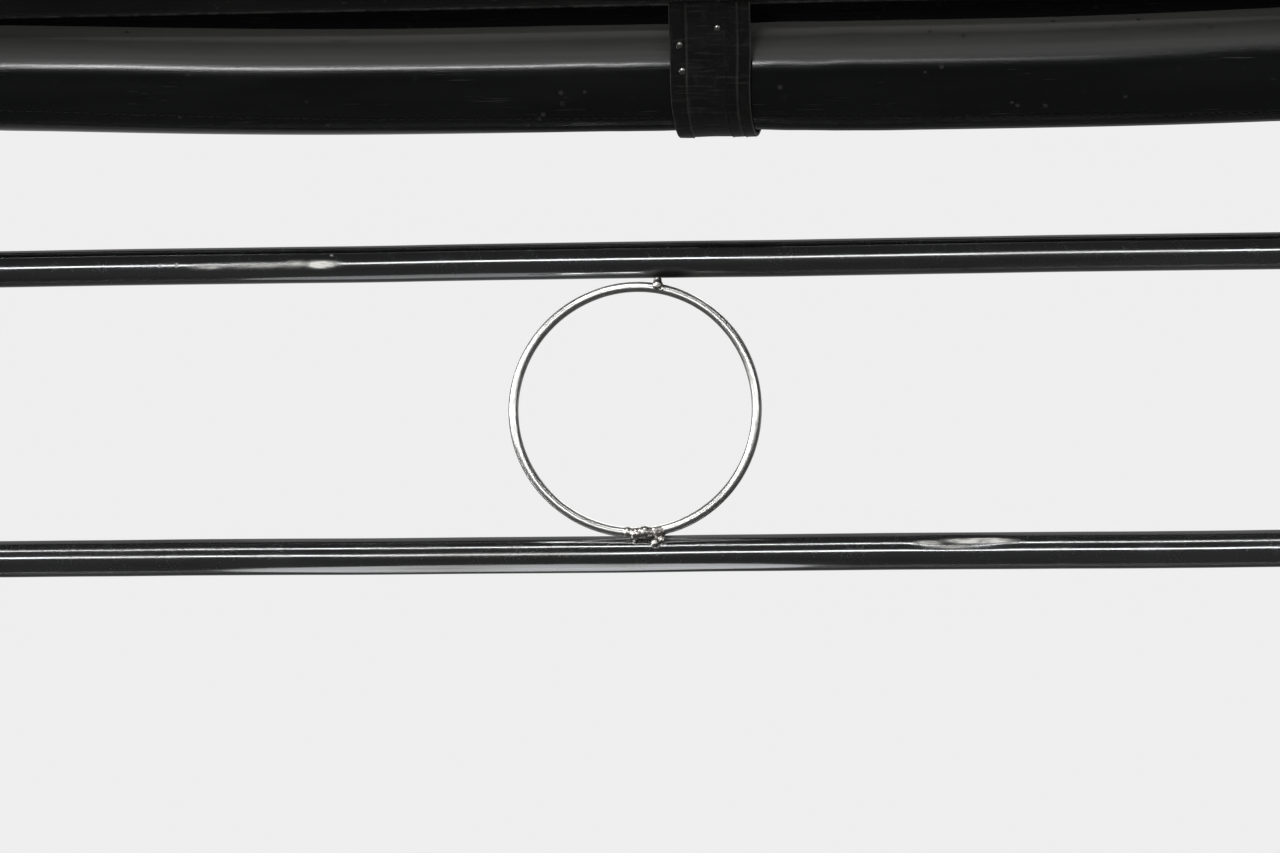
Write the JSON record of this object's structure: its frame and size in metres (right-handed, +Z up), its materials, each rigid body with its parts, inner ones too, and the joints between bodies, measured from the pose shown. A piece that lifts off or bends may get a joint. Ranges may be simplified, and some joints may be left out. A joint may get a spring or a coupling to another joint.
{
  "type": "jeepney side window bay",
  "caption": "Side window bay of a jeepney: sill, posts and eaved header with two tube rails, a wire ring welded between them and a rolled vinyl rain curtain held up by straps.",
  "frame": {"origin": "middle of the sill's underside, halfway through the frame's depth", "axes": "+X along the vehicle, +Y into the cabin, +Z up"},
  "size_m": [0.908, 0.1046, 0.5395],
  "materials": {
    "primer_steel": "satin",
    "sheet_stainless": "brushed",
    "polished_stainless": "polished",
    "weld_metal": "rough",
    "black_enamel": "gloss",
    "lining_vinyl": "grained",
    "smoke_vinyl": "gloss",
    "strap_vinyl": "satin",
    "mill_aluminium": "mill"
  },
  "bodies": {
    "root": {"sill_tube": "primer_steel", "sill_ledge": "sheet_stainless", "post_left": "sheet_stainless", "post_right": "sheet_stainless", "post_lining_left": "lining_vinyl", "post_lining_right": "lining_vinyl", "header_channel": "black_enamel", "header_lining": "lining_vinyl", "eave_shelf": "black_enamel", "eave_fascia": "black_enamel", "rain_gutter": "black_enamel", "gusset_lower_left": "sheet_stainless", "gusset_lower_right": "sheet_stainless", "gusset_upper_left": "sheet_stainless", "gusset_upper_right": "sheet_stainless", "rail_lower": "polished_stainless", "rail_upper": "polished_stainless", "rail_cap_lower_left": "polished_stainless", "rail_cap_lower_right": "polished_stainless", "rail_cap_upper_left": "polished_stainless", "rail_cap_upper_right": "polished_stainless", "pedestal_lower_left": "polished_stainless", "pedestal_lower_right": "polished_stainless", "pedestal_upper_left": "polished_stainless", "pedestal_upper_right": "polished_stainless", "ring": "polished_stainless", "weld_butt": "weld_metal", "tack_lower": "weld_metal", "tack_upper": "weld_metal", "curtain_roll": "smoke_vinyl", "curtain_flap": "smoke_vinyl", "curtain_batten": "mill_aluminium", "strap_left": "strap_vinyl", "strap_middle": "strap_vinyl", "strap_right": "strap_vinyl"}
  },
  "joints": []
}
